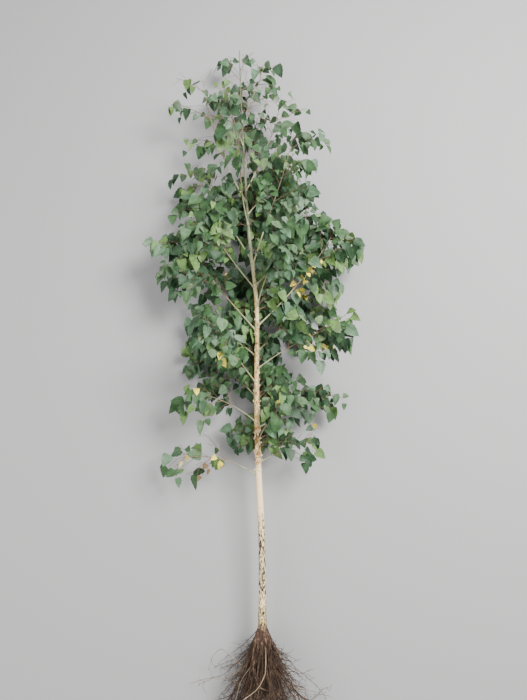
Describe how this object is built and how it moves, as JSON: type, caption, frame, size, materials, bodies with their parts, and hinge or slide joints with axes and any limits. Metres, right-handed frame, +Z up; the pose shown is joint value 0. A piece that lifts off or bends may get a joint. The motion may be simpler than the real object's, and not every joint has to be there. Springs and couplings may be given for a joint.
{
  "type": "birch tree",
  "caption": "Young birch tree lifted with bare roots and lying on the ground: a slim white-barked trunk, rising boughs with masses of leaves, and a spreading bunch of brown roots.",
  "frame": {"origin": "on the level ground, under the middle of the lying tree's bounding box", "axes": "+Y along the lying tree from the roots to the tip, +Z up off the ground, +X to the right when the tree is seen from above with its tip up"},
  "size_m": [0.8906, 2.8704, 0.4581],
  "materials": {
    "trunk_bark": "papery white bark with dark flecks",
    "bough_bark": "smooth brown young bark",
    "foliage": "soft matt leaves",
    "root_bark": "rough earthy root bark",
    "fine_roots": "matt brown fibres with traces of soil"
  },
  "bodies": {
    "root": {"trunk": "trunk_bark", "root_crown": "root_bark", "bough_low_left": "bough_bark", "bough_low_right": "bough_bark", "bough_low_front": "bough_bark", "bough_second_right": "bough_bark", "bough_second_left": "bough_bark", "bough_back_left": "bough_bark", "bough_front_left": "bough_bark", "bough_third_right": "bough_bark", "bough_back_right": "bough_bark", "bough_main_left": "bough_bark", "bough_main_right": "bough_bark", "bough_front_right": "bough_bark", "bough_third_left": "bough_bark", "bough_fork_right": "bough_bark", "bough_steep_left": "bough_bark", "bough_steep_right": "bough_bark", "bough_back_high": "bough_bark", "bough_front_high": "bough_bark", "bough_long_left": "bough_bark", "bough_upper_right": "bough_bark", "roots_left": "fine_roots", "roots_upper_left": "fine_roots", "roots_upper_right": "fine_roots", "roots_right": "fine_roots", "roots_lower_right": "fine_roots", "roots_lower_middle": "fine_roots", "roots_lower_left": "fine_roots", "foliage_low_left": "foliage", "foliage_low_right": "foliage", "foliage_low_front": "foliage", "foliage_second_right": "foliage", "foliage_second_left": "foliage", "foliage_back_left": "foliage", "foliage_front_left": "foliage", "foliage_third_right": "foliage", "foliage_short_left": "foliage", "foliage_back_right": "foliage", "foliage_main_left": "foliage", "foliage_main_right": "foliage", "foliage_short_back": "foliage", "foliage_front_right": "foliage", "foliage_third_left": "foliage", "foliage_fork_right": "foliage", "foliage_steep_left": "foliage", "foliage_steep_right": "foliage", "foliage_back_high": "foliage", "foliage_front_high": "foliage", "foliage_short_right": "foliage", "foliage_long_left": "foliage", "foliage_upper_right": "foliage", "foliage_upper_back": "foliage", "foliage_top_left": "foliage", "foliage_top_right": "foliage", "foliage_leader": "foliage"}
  },
  "joints": []
}
